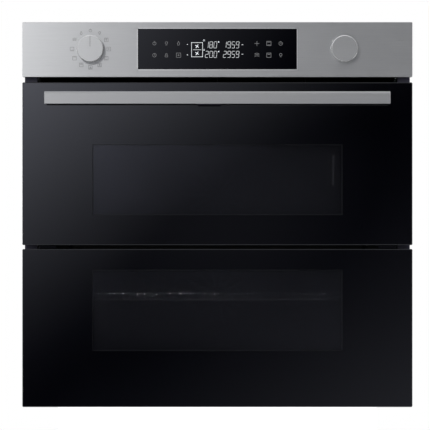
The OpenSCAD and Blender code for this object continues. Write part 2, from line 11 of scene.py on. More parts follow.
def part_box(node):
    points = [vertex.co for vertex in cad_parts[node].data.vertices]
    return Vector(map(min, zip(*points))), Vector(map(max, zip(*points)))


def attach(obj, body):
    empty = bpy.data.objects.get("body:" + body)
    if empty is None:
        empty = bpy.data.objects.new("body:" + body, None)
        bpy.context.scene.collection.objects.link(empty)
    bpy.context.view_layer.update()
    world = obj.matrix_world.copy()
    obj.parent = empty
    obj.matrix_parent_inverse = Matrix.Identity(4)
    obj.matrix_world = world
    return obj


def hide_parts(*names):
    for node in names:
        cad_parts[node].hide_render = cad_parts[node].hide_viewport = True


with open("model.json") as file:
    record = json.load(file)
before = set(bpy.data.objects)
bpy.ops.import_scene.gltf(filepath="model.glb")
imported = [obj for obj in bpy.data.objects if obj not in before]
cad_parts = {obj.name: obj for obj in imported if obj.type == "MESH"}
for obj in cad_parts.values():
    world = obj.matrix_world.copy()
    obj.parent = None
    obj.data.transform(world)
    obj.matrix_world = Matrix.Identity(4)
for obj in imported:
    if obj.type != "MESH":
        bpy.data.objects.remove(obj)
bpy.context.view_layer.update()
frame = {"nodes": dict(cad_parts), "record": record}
nodes = frame["nodes"]
openings = {o["name"]: o["box_m"] for o in frame["record"]["physics"]["openings"]}

MM = 0.001
FRONT = Vector((0, -1, 0))
# Where the flange meets the cabinet
FLANGE_Y = next(m["pos_m"][1] for m in frame["record"]["mounts"] if m["name"] == "flange_back")


# ---- Materials ----

class Paint:
    """A material with one Principled shader, and the nodes that drive it."""

    def __init__(self, name, colour, roughness, metallic=0.0, ior=1.5):
        self.material = bpy.data.materials.new(name)
        self.material.use_nodes = True
        self.tree = self.material.node_tree
        self.shader = self.tree.nodes["Principled BSDF"]
        self.set("Base Color", (*colour, 1.0))
        self.set("Roughness", roughness)
        self.set("Metallic", metallic)
        self.set("IOR", ior)
        self.place = self.add("ShaderNodeTexCoord").outputs["Object"]

    def add(self, kind, **settings):
        node = self.tree.nodes.new(kind)
        for key, value in settings.items():
            setattr(node, key, value)
        return node

    def set(self, socket, value):
        self.shader.inputs[socket].default_value = value

    def feed(self, source, socket):
        self.tree.links.new(source, socket)

    def drive(self, socket, source):
        self.feed(source, self.shader.inputs[socket])

    def stretched(self, scale):
        mapping = self.add("ShaderNodeMapping")
        mapping.inputs["Scale"].default_value = scale
        self.feed(self.place, mapping.inputs["Vector"])
        return mapping.outputs["Vector"]

    def noise(self, scale, detail=3.0, stretch=(1, 1, 1), rough=0.5):
        node = self.add("ShaderNodeTexNoise")
        node.inputs["Scale"].default_value = scale
        node.inputs["Detail"].default_value = detail
        node.inputs["Roughness"].default_value = rough
        self.feed(self.stretched(stretch), node.inputs["Vector"])
        return node.outputs["Fac"]

    def cells(self, scale, output="Color", stretch=(1, 1, 1)):
        node = self.add("ShaderNodeTexVoronoi")
        node.inputs["Scale"].default_value = scale
        self.feed(self.stretched(stretch), node.inputs["Vector"])
        return node.outputs[output]

    def ramp(self, source, stops):
        """Colour stops, each (position, colour or grey value)."""
        node = self.add("ShaderNodeValToRGB")
        points = node.color_ramp.elements
        while len(points) < len(stops):
            points.new(0.5)
        for point, (position, value) in zip(points, stops):
            point.position = position
            point.color = (*value, 1) if isinstance(value, tuple) else (value, value, value, 1)
        self.feed(source, node.inputs["Fac"])
        return node.outputs["Color"]

    def math(self, operation, a, b=0.0, c=0.0):
        node = self.add("ShaderNodeMath", operation=operation)
        for socket, value in zip(node.inputs, (a, b, c)):
            if isinstance(value, (int, float)):
                socket.default_value = value
            else:
                self.feed(value, socket)
        return node.outputs[0]

    def mix(self, factor, a, b):
        node = self.add("ShaderNodeMix", data_type="RGBA")
        for socket, value in ((node.inputs[0], factor), (node.inputs[6], a), (node.inputs[7], b)):
            if isinstance(value, (int, float)):
                socket.default_value = value
            elif isinstance(value, tuple):
                socket.default_value = (*value, 1)
            else:
                self.feed(value, socket)
        return node.outputs[2]

    def bump(self, height, strength, distance=0.0004):
        node = self.add("ShaderNodeBump")
        node.inputs["Strength"].default_value = strength
        node.inputs["Distance"].default_value = distance
        self.feed(height, node.inputs["Height"])
        self.drive("Normal", node.outputs["Normal"])

    def worn(self, colour, spread, scale):
        """Base colour that drifts a little from place to place."""
        low = tuple(c * (1 - spread) for c in colour)
        high = tuple(min(1.0, c * (1 + spread)) for c in colour)
        self.drive("Base Color", self.ramp(self.noise(scale, 4.0), [(0.3, low), (0.7, high)]))


def brushed(name, colour, roughness, streak=0.05):
    """Steel or aluminium brushed along X. streak is how far its tone drifts from line to line."""
    paint = Paint(name, colour, roughness, 1.0)
    lines = paint.noise(1.0, 4.0, (14, 900, 900), 0.6)
    fine = paint.noise(1.0, 2.0, (60, 3200, 3200), 0.6)
    both = paint.math("ADD", paint.math("MULTIPLY", lines, 0.5), paint.math("MULTIPLY", fine, 0.5))
    low = tuple(c * (1 - streak) for c in colour)
    high = tuple(min(1, c * (1 + streak)) for c in colour)
    paint.drive("Base Color", paint.ramp(both, [(0.35, low), (0.65, high)]))
    paint.drive("Roughness", paint.ramp(both, [(0.3, roughness - 0.05), (0.7, roughness + 0.06)]))
    paint.set("Anisotropic", 0.6)
    paint.set("Anisotropic Rotation", 0.25)
    tangent = paint.add("ShaderNodeTangent", direction_type="RADIAL", axis="Z")
    paint.drive("Tangent", tangent.outputs["Tangent"])
    paint.bump(both, 0.05)
    return paint.material


def galvanised(name):
    paint = Paint(name, (0.5, 0.515, 0.53), 0.42, 0.9)
    flake = paint.cells(95, "Color", (1, 1, 0.7))
    tone = paint.ramp(flake, [(0.1, (0.42, 0.435, 0.45)), (0.9, (0.58, 0.59, 0.6))])
    patch = paint.ramp(paint.noise(7, 3.0), [(0.35, 0.25), (0.75, 0.75)])
    paint.drive("Base Color", paint.mix(patch, tone, (0.49, 0.505, 0.52)))
    paint.drive("Roughness", paint.ramp(flake, [(0.1, 0.34), (0.9, 0.52)]))
    paint.bump(paint.noise(420, 2.0), 0.03)
    return paint.material


def enamel(name):
    """Dark vitreous enamel with pale specks."""
    paint = Paint(name, (0.035, 0.04, 0.052), 0.16)
    speck = paint.ramp(paint.cells(620, "Distance"), [(0.08, 1.0), (0.16, 0.0)])
    patch = paint.ramp(paint.noise(190, 2.0), [(0.52, 0.0), (0.6, 1.0)])
    ground, pale = (0.03, 0.034, 0.044), (0.32, 0.34, 0.37)
    paint.drive("Base Color", paint.mix(paint.math("MULTIPLY", speck, patch), ground, pale))
    paint.drive("Roughness", paint.ramp(paint.noise(30, 3.0), [(0.3, 0.12), (0.7, 0.24)]))
    paint.bump(paint.noise(140, 3.0), 0.06)
    return paint.material


def painted(name, colour, roughness, grain=650, strength=0.1, ior=1.5):
    """Powder coat or moulded plastic with a fine grain."""
    paint = Paint(name, colour, roughness, 0.0, ior)
    paint.worn(colour, 0.12, 14)
    sheen = [(0.3, roughness - 0.06), (0.7, roughness + 0.08)]
    paint.drive("Roughness", paint.ramp(paint.noise(60, 3.0), sheen))
    paint.bump(paint.noise(grain, 2.0), strength)
    return paint.material


def chrome(name, colour=(0.78, 0.78, 0.79), roughness=0.12):
    paint = Paint(name, colour, roughness, 1.0)
    sheen = [(0.3, roughness - 0.04), (0.7, roughness + 0.08)]
    paint.drive("Roughness", paint.ramp(paint.noise(120, 3.0), sheen))
    paint.worn(colour, 0.05, 40)
    return paint.material


def heater(name):
    """Steel sheath, tinted by heat along its length."""
    paint = Paint(name, (0.12, 0.11, 0.105), 0.45, 0.85)
    tints = [(0.3, (0.09, 0.085, 0.09)), (0.5, (0.15, 0.125, 0.11)), (0.72, (0.1, 0.105, 0.125))]
    paint.drive("Base Color", paint.ramp(paint.noise(11, 3.0), tints))
    paint.bump(paint.noise(700, 2.0), 0.12)
    return paint.material


def knitted(name):
    """Fibreglass braid of the door seal."""
    paint = Paint(name, (0.16, 0.165, 0.17), 0.85)
    weave = paint.cells(520, "Distance")
    paint.drive("Base Color", paint.ramp(weave, [(0.1, (0.22, 0.225, 0.23)), (0.6, (0.09, 0.095, 0.1))]))
    paint.bump(weave, 0.5, 0.0006)
    return paint.material


def wool(name):
    paint = Paint(name, (0.62, 0.58, 0.44), 0.95)
    fibre = paint.noise(160, 6.0, (1, 1, 4), 0.7)
    paint.drive("Base Color", paint.ramp(fibre, [(0.3, (0.46, 0.42, 0.3)), (0.7, (0.72, 0.68, 0.54))]))
    paint.bump(fibre, 0.7, 0.002)
    return paint.material


def board(name):
    """Solder-masked circuit board with copper tracks."""
    paint = Paint(name, (0.02, 0.1, 0.05), 0.35)
    track = paint.ramp(paint.cells(260, "Distance", (1, 3, 1)), [(0.28, 0.0), (0.34, 1.0)])
    paint.drive("Base Color", paint.mix(track, (0.015, 0.085, 0.04), (0.05, 0.19, 0.09)))
    paint.bump(track, 0.15)
    return paint.material


def in_window(paint, low, high):
    """1 inside a rectangle of the front plane, 0 outside."""
    split = paint.add("ShaderNodeSeparateXYZ")
    paint.feed(paint.place, split.inputs[0])
    inside = 1.0
    for axis, lo, hi in (("X", low[0], high[0]), ("Z", low[2], high[2])):
        value = split.outputs[axis]
        inside = paint.math("MULTIPLY", inside, paint.math("GREATER_THAN", value, lo))
        inside = paint.math("MULTIPLY", inside, paint.math("LESS_THAN", value, hi))
    return inside


def dark_glass(name, window=None, ior=1.75, bow=0.0):
    """Tinted glass, printed black behind outside the window. bow is how strongly it is bent about Z."""
    see_through = 0.6
    paint = Paint(name, (0.0008, 0.0009, 0.0026), 0.03, 0.0, ior)
    smear = paint.noise(6, 4.0, (1, 1, 0.5))
    paint.drive("Roughness", paint.ramp(smear, [(0.35, 0.015), (0.7, 0.05)]))
    tints = [(0.3, (0.0006, 0.0007, 0.0022)), (0.7, (0.0011, 0.0012, 0.003))]
    paint.drive("Base Color", paint.ramp(paint.noise(3, 2.0), tints))
    if window:
        inside = in_window(paint, *window)
        paint.drive("Alpha", paint.math("MULTIPLY_ADD", inside, -see_through, 1.0))
    if bow:
        split = paint.add("ShaderNodeSeparateXYZ")
        paint.feed(paint.place, split.inputs[0])
        square = paint.math("POWER", split.outputs["X"], 2.0)
        paint.bump(paint.math("MULTIPLY", square, -bow), 1.0, 1.0)
    return paint.material


def pane(name, window, clear_alpha=0.3, border=0.97):
    """Pane with a heat-reflecting metal coating, clearer in its window than in the border round it."""
    paint = Paint(name, (0.01, 0.011, 0.012), 0.04, 0.0, 1.75)
    inside = in_window(paint, *window)
    paint.drive("Alpha", paint.math("MULTIPLY_ADD", inside, clear_alpha - border, border))
    tint = paint.ramp(paint.noise(4, 2.0), [(0.3, (0.43, 0.44, 0.52)), (0.7, (0.51, 0.52, 0.61))])
    paint.drive("Base Color", paint.mix(inside, (0.006, 0.006, 0.007), tint))
    paint.drive("Metallic", paint.math("MULTIPLY", inside, 0.8))
    paint.drive("Roughness", paint.ramp(paint.noise(8, 3.0), [(0.3, 0.02), (0.7, 0.07)]))
    return paint.material


def lamp_glass(name):
    paint = Paint(name, (0.35, 0.34, 0.3), 0.18)
    paint.set("Emission Color", (1.0, 0.86, 0.62, 1.0))
    paint.set("Emission Strength", LAMP_GLOW)
    ribs = paint.noise(1.0, 1.0, (1, 1, 420))
    paint.drive("Base Color", paint.ramp(ribs, [(0.3, (0.22, 0.215, 0.2)), (0.7, (0.4, 0.39, 0.35))]))
    paint.bump(ribs, 0.5, 0.001)
    return paint.material


def ink(name, colour, roughness=0.55, glow=0.0):
    """Printed mark, a lit segment of the display, or a glowing strip that is a painted highlight."""
    paint = Paint(name, colour, roughness)
    paint.worn(colour, 0.1, 260)
    if glow:
        paint.set("Emission Color", (*colour, 1))
        paint.set("Emission Strength", glow)
    return paint.material


LAMP_GLOW = 0.008
# How far each printed window reaches past the opening of its door: sides, below, above, in mm
WINDOW_GROWTH = {"upper": (7.8, 12.0, 5.6), "lower": (7.8, 6.4, 5.3)}


def window_box(door):
    """Clear window of a door's outer glass: the opening of its frame, grown at the sides, below and above."""
    low, high = openings[f"{door}_door_window"]
    side, below, above = (v * MM for v in WINDOW_GROWTH[door])
    return (low[0] - side, low[1], low[2] - below), (high[0] + side, high[1], high[2] + above)


STEEL = brushed("brushed_steel", (0.63, 0.635, 0.645), 0.32, streak=0.035)
STEEL_DARK = brushed("handle_brushed_steel", (0.53, 0.535, 0.55), 0.42, streak=0.035)
# Hinges, pins and latch bolts: partly their own blackened finish, and partly painted shade, made near-black
# and almost without reflection so the door gap they sit behind stays dark.
BLACKENED_GAP_SHADE = painted("blackened_steel", (0.005, 0.005, 0.007), 0.65, ior=1.08)
# Very pale steel for the display's bezel: a painted highlight, standing in for the light its chamfered edge
# catches.
BEZEL_HIGHLIGHT_STEEL = brushed("polished_bezel_steel", (0.93, 0.935, 0.94), 0.3, streak=0.02)
KNOB = brushed("knob_brushed_metal", (0.65, 0.655, 0.665), 0.34, streak=0.02)
KNOB_BEVEL = chrome("knob_bevel_metal", (0.8, 0.805, 0.81), 0.16)
ZINC = galvanised("galvanised_sheet")
ENAMEL = enamel("speckled_enamel")
BLACK_PAINT = painted("black_powder_coat", (0.012, 0.012, 0.015), 0.5, ior=1.35)
TRIM_PAINT = painted("trim_paint", (0.05, 0.048, 0.085), 0.45)
MOTOR_PAINT = painted("motor_lacquer", (0.2, 0.205, 0.215), 0.42)
CHROME = chrome("chromed_wire")
LEVER = chrome("lever_metal", (0.04, 0.038, 0.052), 0.45)
HEATER = heater("heater_sheath")
SEAL = knitted("seal_braid")
WOOL = wool("mineral_wool")
CERAMIC = painted("glazed_ceramic", (0.78, 0.77, 0.73), 0.3, 200, 0.03)
WHITE_PLASTIC = painted("white_plastic", (0.7, 0.7, 0.68), 0.5)
BLACK_PLASTIC = painted("black_plastic", (0.018, 0.018, 0.02), 0.5)
BOARD = board("circuit_board")
# Fan steel: partly its own tone, and partly painted shade, darkened so the fan seen through the cover's slots
# stays dark.
FAN_STEEL_SHADE = brushed("fan_steel", (0.3, 0.3, 0.3), 0.4)
LAMP = lamp_glass("lamp_lens_glass")
# Glow of a pale strip on the upper lamp's lens: a painted highlight of its glass, not a lamp of its own.
LAMP_PAINTED_HIGHLIGHT = ink("lamp_ridge_glass", (0.75, 0.76, 0.82), 0.3, 0.3)
DISPLAY = dark_glass("display_black_glass", ior=1.33, bow=0.05)
BEAD = painted("window_bead", (0.2, 0.205, 0.215), 0.5)
RACK_WIRE = chrome("chromed_rack_wire", roughness=0.22)
# Near-black for the strip behind the door gap: painted shade of the gap.
GAP_SHADE_BLACK = painted("black_silicone", (0.01, 0.01, 0.011), 0.55, ior=1.3)
GLASS_EDGE = painted("ground_glass_edge", (0.032, 0.034, 0.04), 0.35, 900, 0.05, ior=1.4)
INK = ink("printed_grey", (0.28, 0.28, 0.285))
GROOVE = ink("knob_groove", (0.2, 0.2, 0.205))
LIT = ink("display_white", (0.8, 0.82, 0.84), 0.4, 0.5)
DIM = ink("display_dim", (0.16, 0.16, 0.165), 0.5, 0.8)

COATS = {
    "upper_outer_glass": dark_glass("upper_door_glass", window_box("upper")),
    "lower_outer_glass": dark_glass("lower_door_glass", window_box("lower")),
    "upper_middle_glass": pane("upper_middle_pane", window_box("upper"), 0.5, 0.5),
    "lower_middle_glass": pane("lower_middle_pane", window_box("lower"), 0.5, 0.5),
    "upper_inner_glass": pane("upper_inner_pane", window_box("upper")),
    "lower_inner_glass": pane("lower_inner_pane", window_box("lower")),
    "display_glass": DISPLAY,
    "handle_bar": STEEL_DARK,
    "handle_brackets": STEEL_DARK,
    # These blackened parts carry painted shade of the door gap.
    "latch_bolts": BLACKENED_GAP_SHADE,
    "hinge_pins": BLACKENED_GAP_SHADE,
    "upper_hinge_leaves": BLACKENED_GAP_SHADE,
    "lower_door_trim": BLACKENED_GAP_SHADE,
    "release_lever": LEVER,
    "side_trims": TRIM_PAINT,
    "wire_rack": RACK_WIRE,
}
BY_SLOT = {
    "galvanised_steel": ZINC, "enamel": ENAMEL, "dark_paint": BLACK_PAINT, "motor_steel": MOTOR_PAINT,
    "chromed_wire": CHROME, "heater_sheath": HEATER, "seal_rubber": SEAL, "mineral_wool": WOOL,
    "lamp_glass": LAMP, "ceramic": CERAMIC, "white_plastic": WHITE_PLASTIC, "black_plastic": BLACK_PLASTIC,
    "circuit_board": BOARD, "brushed_steel": STEEL, "knob_metal": KNOB, "lever_metal": LEVER,
    "fan_steel": FAN_STEEL_SHADE,
}
slot_of = {row["node"]: row["material_slot"] for row in frame["record"]["subparts"]}


def coat(node, material):
    """Gives every material slot of a CAD node this material."""
    slots = nodes[node].data.materials
    for i in range(len(slots)):
        slots[i] = material


for node in nodes:
    coat(node, COATS.get(node) or BY_SLOT[slot_of[node]])


def round_edges(node, width, segments, edge_material=None):
    """Small bevel on a CAD node's sharp edges, by modifiers that first join up its triangles."""
    obj = nodes[node]
    weld = obj.modifiers.new("weld", "WELD")
    weld.merge_threshold = 0.01 * MM
    flat = obj.modifiers.new("whole_faces", "DECIMATE")
    flat.decimate_type = "DISSOLVE"
    flat.angle_limit = math.radians(0.5)
    bevel = obj.modifiers.new("edge_bevel", "BEVEL")
    bevel.width = width
    bevel.segments = segments
    bevel.limit_method = "ANGLE"
    bevel.angle_limit = math.radians(50)
    bevel.harden_normals = True
    bevel.use_clamp_overlap = False
    if edge_material:
        obj.data.materials.append(edge_material)
        bevel.material = len(obj.data.materials) - 1


for node in ("upper_outer_glass", "lower_outer_glass"):
    round_edges(node, 1.2 * MM, 2, GLASS_EDGE)
for node in ("upper_inner_glass", "lower_inner_glass"):
    round_edges(node, 0.5 * MM, 2, GLASS_EDGE)
round_edges("handle_bar", 0.5 * MM, 3)
round_edges("handle_brackets", 0.6 * MM, 2)
round_edges("release_lever", 0.4 * MM, 2)
round_edges("control_fascia", 0.4 * MM, 2)


# ---- Mesh helpers ----

def piece(name, shape, body, material, smooth=False):
    """Turns a bmesh into a named piece that moves with a body."""
    bmesh.ops.recalc_face_normals(shape, faces=shape.faces)
    mesh = bpy.data.meshes.new(name)
    shape.to_mesh(mesh)
    shape.free()
    if smooth:
        mesh.shade_smooth()
    obj = bpy.data.objects.new(name, mesh)
    bpy.context.scene.collection.objects.link(obj)
    for m in material if isinstance(material, list) else [material]:
        mesh.materials.append(m)
    if body:
        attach(obj, body)
    return obj


def block(shape, low, high, material=0):
    """Adds a box between two corners."""
    xs, ys, zs = zip(low, high)
    corners = [shape.verts.new((x, y, z)) for x in xs for y in ys for z in zs]
    for a, b, c, d in ((0, 1, 3, 2), (4, 6, 7, 5), (0, 4, 5, 1), (2, 3, 7, 6), (0, 2, 6, 4), (1, 5, 7, 3)):
        face = shape.faces.new((corners[a], corners[b], corners[c], corners[d]))
        face.material_index = material


def stroke(shape, start, end, width, depth):
    """Adds a thin bar in the front plane. start and end are (x, z); depth is (front y, back y)."""
    along = (Vector(end) - Vector(start)).normalized()
    side = Vector((-along.y, along.x)) * width / 2
    reach = along * width / 2
    ends = [Vector(start) - reach, Vector(end) + reach]
    outline = [ends[0] + side, ends[1] + side, ends[1] - side, ends[0] - side]
    slab(shape, outline, depth)


def slab(shape, outline, depth):
    """Adds a prism: an outline in the front plane between two depths."""
    front = [shape.verts.new((p[0], depth[0], p[1])) for p in outline]
    back = [shape.verts.new((p[0], depth[1], p[1])) for p in outline]
    shape.faces.new(front)
    shape.faces.new(back[::-1])
    for i in range(len(outline)):
        j = (i + 1) % len(outline)
        shape.faces.new((front[i], back[i], back[j], front[j]))


def ring_points(centre, radius, count, start=0.0):
    angles = (start + i * math.tau / count for i in range(count))
    return [(centre[0] + radius * math.sin(a), centre[1] + radius * math.cos(a)) for a in angles]


def closed_line(shape, points, width, depth):
    for i, point in enumerate(points):
        stroke(shape, point, points[(i + 1) % len(points)], width, depth)


def lathe(shape, profile, centre, axis, steps=96, material_at=None):
    """Revolves (radius, height) points about an axis through centre, and closes both ends."""
    turn = Vector((0, 0, 1)).rotation_difference(Vector(axis)).to_matrix().to_4x4()
    place = Matrix.Translation(centre) @ turn
    rings = []
    for radius, height in profile:
        rings.append([
            shape.verts.new(place @ Vector((radius * math.cos(a), radius * math.sin(a), height)))
            for a in (i * math.tau / steps for i in range(steps))
        ])
    for k in range(len(rings) - 1):
        for i in range(steps):
            j = (i + 1) % steps
            face = shape.faces.new((rings[k][i], rings[k][j], rings[k + 1][j], rings[k + 1][i]))
            face.smooth = True
            if material_at:
                face.material_index = material_at(k)
    shape.faces.new(rings[0][::-1])
    shape.faces.new(rings[-1])


# ---- Knobs ----

def make_knob(node, body, pointer):
    """Turned metal cap with a polished bevel, standing on a dark collar."""
    low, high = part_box(node)
    middle = (low + high) / 2
    radius = (high.x - low.x) / 2
    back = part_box("control_fascia")[0].y
    face = low.y
    gap = 1.4 * MM
    height = back - face - gap
    base = (middle.x, back - gap, middle.z)
    rim, lip = 1.3 * MM, 0.25 * MM
    profile = [
        (radius * 0.86, 0), (radius - lip, 0), (radius, lip), (radius, height - rim),
        (radius - 0.15 * MM, height - rim * 0.75), (radius - rim * 0.85, height - 0.12 * MM),
        (radius - rim, height),
    ]
    shape = bmesh.new()
    lathe(shape, profile, base, FRONT, 128, lambda k: 1 if k in (3, 4, 5) else 0)
    cap = piece(f"{node}_cap", shape, body, [KNOB, KNOB_BEVEL])
    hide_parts(node)
    collar = bmesh.new()
    inner = radius * 0.8
    lathe(collar, [(inner, 0), (inner, 1.45 * MM)], (middle.x, back - 0.05 * MM, middle.z), FRONT)
    piece(f"{node}_collar", collar, body, BLACK_PLASTIC, True)
    if pointer:
        line = bmesh.new()
        start, end = middle.z + 0.16 * radius, middle.z + radius - rim * 1.1
        half = 0.3 * MM
        front = face - 0.02 * MM
        block(line, (middle.x - half, front, start), (middle.x + half, front + 0.6 * MM, end))
        piece(f"{node}_pointer", line, body, GROOVE)


make_knob("selector_knob", "selector_knob_body", True)
make_knob("value_knob", "value_knob_body", False)


# ---- Pictograms and digits ----

def frame_lines(size):
    h = size / 2
    return [(-h, -h), (h, -h), (h, h), (-h, h)]


def pictogram(kind, size):
    """Strokes of a small symbol about (0, 0), as pairs of points."""
    h = size / 2
    lines = []

    def loop(points):
        lines.extend((points[i], points[(i + 1) % len(points)]) for i in range(len(points)))

    if kind in ("top", "bottom", "both", "fan", "top_fan", "bottom_fan", "grill", "all"):
        loop(frame_lines(size))
    if kind in ("top", "both", "top_fan", "all"):
        lines.append(((-h * 0.6, h * 0.62), (h * 0.6, h * 0.62)))
    if kind in ("bottom", "both", "bottom_fan", "all"):
        lines.append(((-h * 0.6, -h * 0.62), (h * 0.6, -h * 0.62)))
    if kind in ("fan", "top_fan", "bottom_fan", "all"):
        lines.extend(((0, 0), tip) for tip in ring_points((0, 0), h * 0.42, 4))
    if kind == "grill":
        zig = [(-h * 0.6, h * 0.6), (-h * 0.3, h * 0.2), (0, h * 0.6), (h * 0.3, h * 0.2), (h * 0.6, h * 0.6)]
        lines.extend(zip(zig, zig[1:]))
    if kind == "lamp":
        loop(ring_points((0, h * 0.25), h * 0.6, 8))
        lines.append(((-h * 0.3, -h * 0.7), (h * 0.3, -h * 0.7)))
    if kind == "clock":
        loop(ring_points((0, 0), h * 0.85, 12))
        lines.extend([((0, 0), (0, h * 0.5)), ((0, 0), (h * 0.35, 0))])
    if kind == "power":
        loop(ring_points((0, 0), h * 0.75, 10))
        lines.append(((0, h * 0.2), (0, h)))
    if kind == "lock":
        loop([(-h * 0.6, -h * 0.8), (h * 0.6, -h * 0.8), (h * 0.6, 0), (-h * 0.6, 0)])
        loop([(-h * 0.35, 0), (-h * 0.35, h * 0.7), (h * 0.35, h * 0.7), (h * 0.35, 0)])
    if kind == "plus":
        lines.extend([((-h, 0), (h, 0)), ((0, -h), (0, h))])
    if kind == "drop":
        loop([
            (0, h), (h * 0.55, -h * 0.2), (h * 0.3, -h * 0.75), (-h * 0.3, -h * 0.75), (-h * 0.55, -h * 0.2),
        ])
    if kind == "wave":
        for z in (-0.5, 0.1, 0.7):
            lines.extend([((-h, h * z), (0, h * (z + 0.25))), ((0, h * (z + 0.25)), (h, h * z))])
    return lines


def draw(shape, kind, centre, size, width, depth):
    x, z = centre
    for a, b in pictogram(kind, size):
        stroke(shape, (x + a[0], z + a[1]), (x + b[0], z + b[1]), width, depth)


SEGMENTS = {"0": "abcdef", "1": "bc", "2": "abged", "5": "afgcd", "8": "abcdefg", "9": "abcdfg"}
SEGMENT_ENDS = {
    "a": ((0, 2), (1, 2)), "b": ((1, 2), (1, 1)), "c": ((1, 1), (1, 0)), "d": ((0, 0), (1, 0)),
    "e": ((0, 1), (0, 0)), "f": ((0, 2), (0, 1)), "g": ((0, 1), (1, 1)),
}


def write_digits(shape, text, left, base, digit, depth):
    """Seven-segment digits; a star stands for a degree sign, a small ring. digit is (width, height)."""
    x = left
    wide, tall = digit
    gap = 0.14 * wide
    lean = 0.1 * wide
    for sign in text:
        if sign == "*":
            ring = ring_points((x + 0.3 * wide, base + 0.95 * tall), 0.15 * wide, 8)
            closed_line(shape, ring, 0.1 * wide, depth)
            x += 0.8 * wide
        else:
            for name in SEGMENTS[sign]:
                a, b = (
                    Vector((x + along * wide + lean * up, base + up * tall / 2))
                    for along, up in SEGMENT_ENDS[name]
                )
                trim = (b - a).normalized() * gap
                stroke(shape, a + trim, b - trim, 0.13 * wide, depth)
            x += 1.5 * wide


def make_display():
    """Lit read-out, dim touch symbols and bezel. Positions are in mm from the display's centre."""
    low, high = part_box("display_glass")
    centre = (low + high) / 2
    depth = (low.y - 0.08 * MM, low.y + 0.05 * MM)

    def at(x, z):
        return centre.x + x * MM, centre.z + z * MM

    lit = bmesh.new()
    digit = (4.3 * MM, 9.6 * MM)
    for row, base in (("180*", 1.6), ("200*", -12.9)):
        write_digits(lit, row, *at(-18.6, base), digit, depth)
    for row, base in (("1959", 1.6), ("2959", -12.9)):
        write_digits(lit, row, *at(8.8, base), digit, depth)
    for z in (13.2, -1.3):
        closed_line(lit, [at(x, z + y) for x, y in ring_points((-20.4, 0), 1.1, 8)], 0.4 * MM, depth)
    closed_line(lit, [at(-39.4, 9.8), at(-22.6, 9.8), at(-22.6, -11.8), at(-39.4, -11.8)], 0.7 * MM, depth)
    stroke(lit, at(-37.0, -1.1), at(-25.0, -1.1), 0.6 * MM, depth)
    for z in (4.2, -6.6):
        for x, y in ring_points((0, 0), 2.6, 4, 0.6):
            stroke(lit, at(-31.0, z), at(-31.0 + x, z + y), 1.1 * MM, depth)
    for z in (7.0, -8.9):
        stroke(lit, at(-45.9, z), at(-45.5, z), 1.1 * MM, depth)
    for z in (6.6, -7.9):
        stroke(lit, at(37.3, z), at(39.1, z), 0.7 * MM, depth)
    piece("display_readout", lit, "chassis", LIT)

    dim = bmesh.new()
    kinds = iter((
        "power", "clock", "lamp", "lock", "drop", "fan", "plus", "wave", "both", "grill", "clock", "lamp",
    ))
    for x in (-96.0, -77.7, -59.2, 60.3, 78.5, 96.6):
        for z in (8.5, -9.4):
            draw(dim, next(kinds), at(x, z), 6.6 * MM, 0.55 * MM, depth)
    piece("display_touch_symbols", dim, "chassis", DIM)

    # The bezel's pale steel is a painted highlight of its chamfered edge.
    rim = bmesh.new()
    fascia_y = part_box("control_fascia")[0].y
    edge = 0.7 * MM
    x0, x1, z0, z1 = low.x - edge, high.x + edge, low.z - edge, high.z + edge
    for a, b in (((x0, z0), (x1, z0)), ((x1, z0), (x1, z1)), ((x1, z1), (x0, z1)), ((x0, z1), (x0, z0))):
        stroke(rim, a, b, 1.3 * MM, (fascia_y - 0.2 * MM, fascia_y + 0.3 * MM))
    piece("display_bezel", rim, "chassis", BEZEL_HIGHLIGHT_STEEL)


def make_selector_marks():
    """Ring of printed symbols round the left knob."""
    low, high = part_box("selector_knob")
    middle = (low + high) / 2
    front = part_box("control_fascia")[0].y
    depth = (front - 0.04 * MM, front + 0.05 * MM)
    marks = bmesh.new()
    kinds = (
        "power", "lamp", "top_fan", "fan", "both", "all",
        "bottom_fan", "grill", "top", "bottom", "wave", "drop",
    )
    for kind, spot in zip(kinds, ring_points((middle.x, middle.z), 28 * MM, len(kinds))):
        draw(marks, kind, spot, 5.6 * MM, 0.5 * MM, depth)
    piece("selector_marks", marks, "chassis", INK)


make_display()
make_selector_marks()


# ---- Door windows ----

def make_window_beads():
    """Thin bead round each window, between the outer glass and the door's frame."""
    for door in ("upper", "lower"):
        low, high = window_box(door)
        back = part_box(f"{door}_outer_glass")[1].y
        inset = 0.5 * MM
        x0, x1, z0, z1 = low[0] + inset, high[0] - inset, low[2] + inset, high[2] - inset
        bead = bmesh.new()
        depth = (back + 0.05 * MM, back + 0.6 * MM)
        closed_line(bead, [(x0, z0), (x1, z0), (x1, z1), (x0, z1)], 0.9 * MM, depth)
        piece(f"{door}_window_bead", bead, f"{door}_door_body", BEAD)


def make_gap_shade():
    """Black strip on the lower door, behind the gap between the two doors: painted shade that keeps the gap
    dark.
    """
    lip = bmesh.new()
    half = 0.268
    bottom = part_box("lower_outer_glass")[1].z
    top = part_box("upper_outer_glass")[0].z - 0.6 * MM
    block(lip, (-half, FLANGE_Y + 4.2 * MM, bottom), (half, FLANGE_Y + 5.4 * MM, top))
    piece("door_gap_lip", lip, "lower_door_body", GAP_SHADE_BLACK)


make_window_beads()
make_gap_shade()


# ---- Screws ----

def screw_head(shape, place, axis, radius, height):
    """Pan head with a dark cross."""
    profile = [(radius, 0), (radius, height * 0.4), (radius * 0.86, height * 0.8), (radius * 0.5, height)]
    lathe(shape, profile, place, axis, 24)
    out = Vector(axis)
    top = Vector(place) + out * height
    flat = [v for v in map(Vector, ((1, 0, 0), (0, 1, 0), (0, 0, 1))) if abs(v.dot(out)) < 0.5]
    for along, across in (flat, flat[::-1]):
        half = along * radius * 0.42 + across * radius * 0.1 + out * 0.05 * MM
        low = Vector(map(min, top - half, top + half))
        high = Vector(map(max, top - half, top + half))
        block(shape, low, high, 1)


